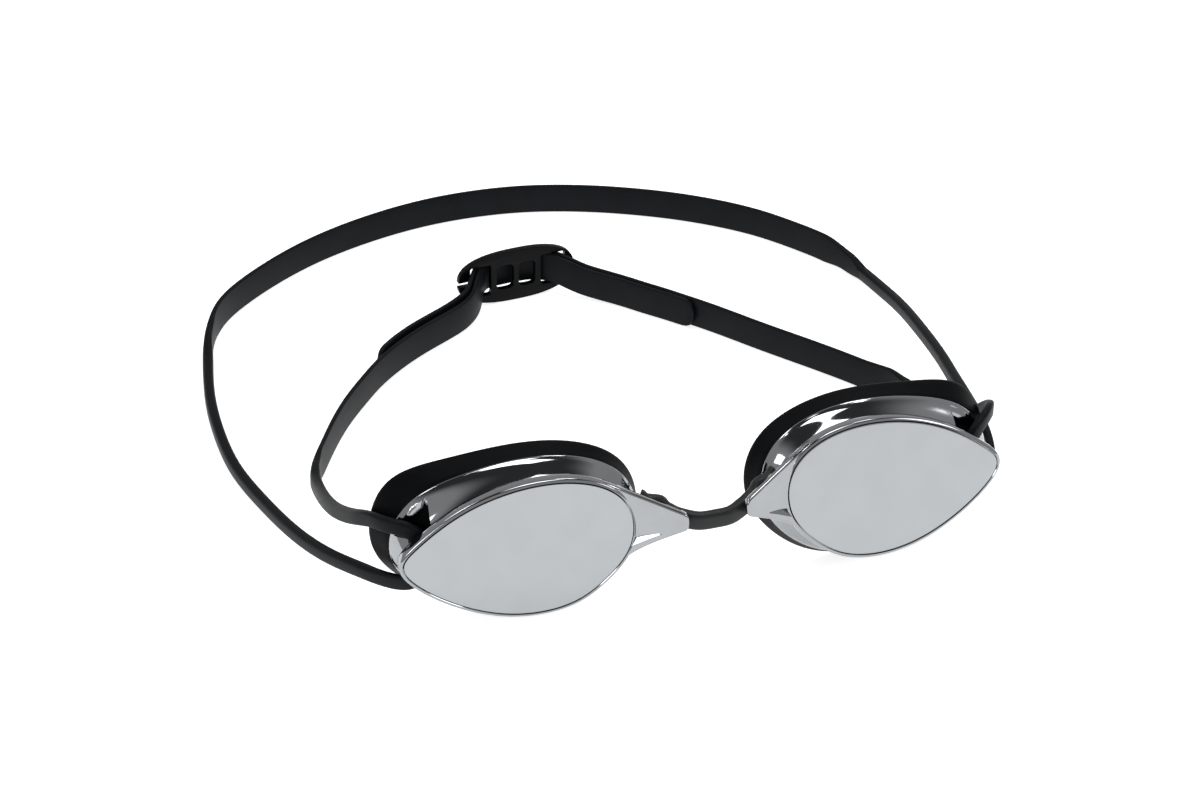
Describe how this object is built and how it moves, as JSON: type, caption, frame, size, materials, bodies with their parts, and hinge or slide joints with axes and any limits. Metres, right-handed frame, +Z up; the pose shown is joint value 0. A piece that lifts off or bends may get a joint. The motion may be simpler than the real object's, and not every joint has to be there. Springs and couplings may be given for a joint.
{
  "type": "swim goggles",
  "caption": "Racing swim goggles: almond mirror lenses in chrome cups with flared face seals, a flexible nose bridge and a looped strap closed by an oval adjuster.",
  "frame": {"origin": "middle of the bounding box in plan, on the surface the goggles lie on", "axes": "+X to the wearer's left as worn, which is the viewer's right from the front; -Y the way the lenses look; +Z up from the table"},
  "size_m": [0.212, 0.2292, 0.0483],
  "materials": {
    "mirror_lens": "vacuum-coated silver mirror on polycarbonate",
    "chrome_coat": "bright chrome coating on moulded polycarbonate",
    "seal_silicone": "matt black silicone",
    "bridge_silicone": "satin black silicone",
    "strap_silicone": "satin black silicone",
    "buckle_plastic": "satin black nylon"
  },
  "bodies": {
    "bridge_and_strap": {"nose_bridge": "bridge_silicone", "strap_rear_band": "strap_silicone", "strap_left_band": "strap_silicone", "strap_right_band": "strap_silicone"},
    "left_cup": {"left_lens": "mirror_lens", "left_eye_cup": "chrome_coat", "left_seal": "seal_silicone", "strap_left_cord": "strap_silicone"},
    "right_cup": {"right_lens": "mirror_lens", "right_eye_cup": "chrome_coat", "right_seal": "seal_silicone", "strap_right_cord": "strap_silicone"},
    "buckle": {"buckle": "buckle_plastic"}
  },
  "joints": [
    {"name": "left_cup_flex", "type": "hinge", "parent": "bridge_and_strap", "child": "left_cup", "pos_m": [-0.01517, -0.10726, 0.0308], "axis": [0, 0, 1], "range_deg": [-10, 8], "stiffness_Nm_per_rad": 0.05, "deforming": ["nose_bridge", "strap_left_cord"]},
    {"name": "right_cup_flex", "type": "hinge", "parent": "bridge_and_strap", "child": "right_cup", "pos_m": [0.01783, -0.10687, 0.0306], "axis": [0, 0, 1], "range_deg": [-8, 10], "stiffness_Nm_per_rad": 0.05, "deforming": ["nose_bridge", "strap_right_cord"]},
    {"name": "buckle_slide", "type": "slide", "parent": "bridge_and_strap", "child": "buckle", "axis": [0.9976, 0.0698, 0], "range_m": [-0.008, 0.008], "deforming": ["strap_left_band", "strap_right_band"]}
  ]
}
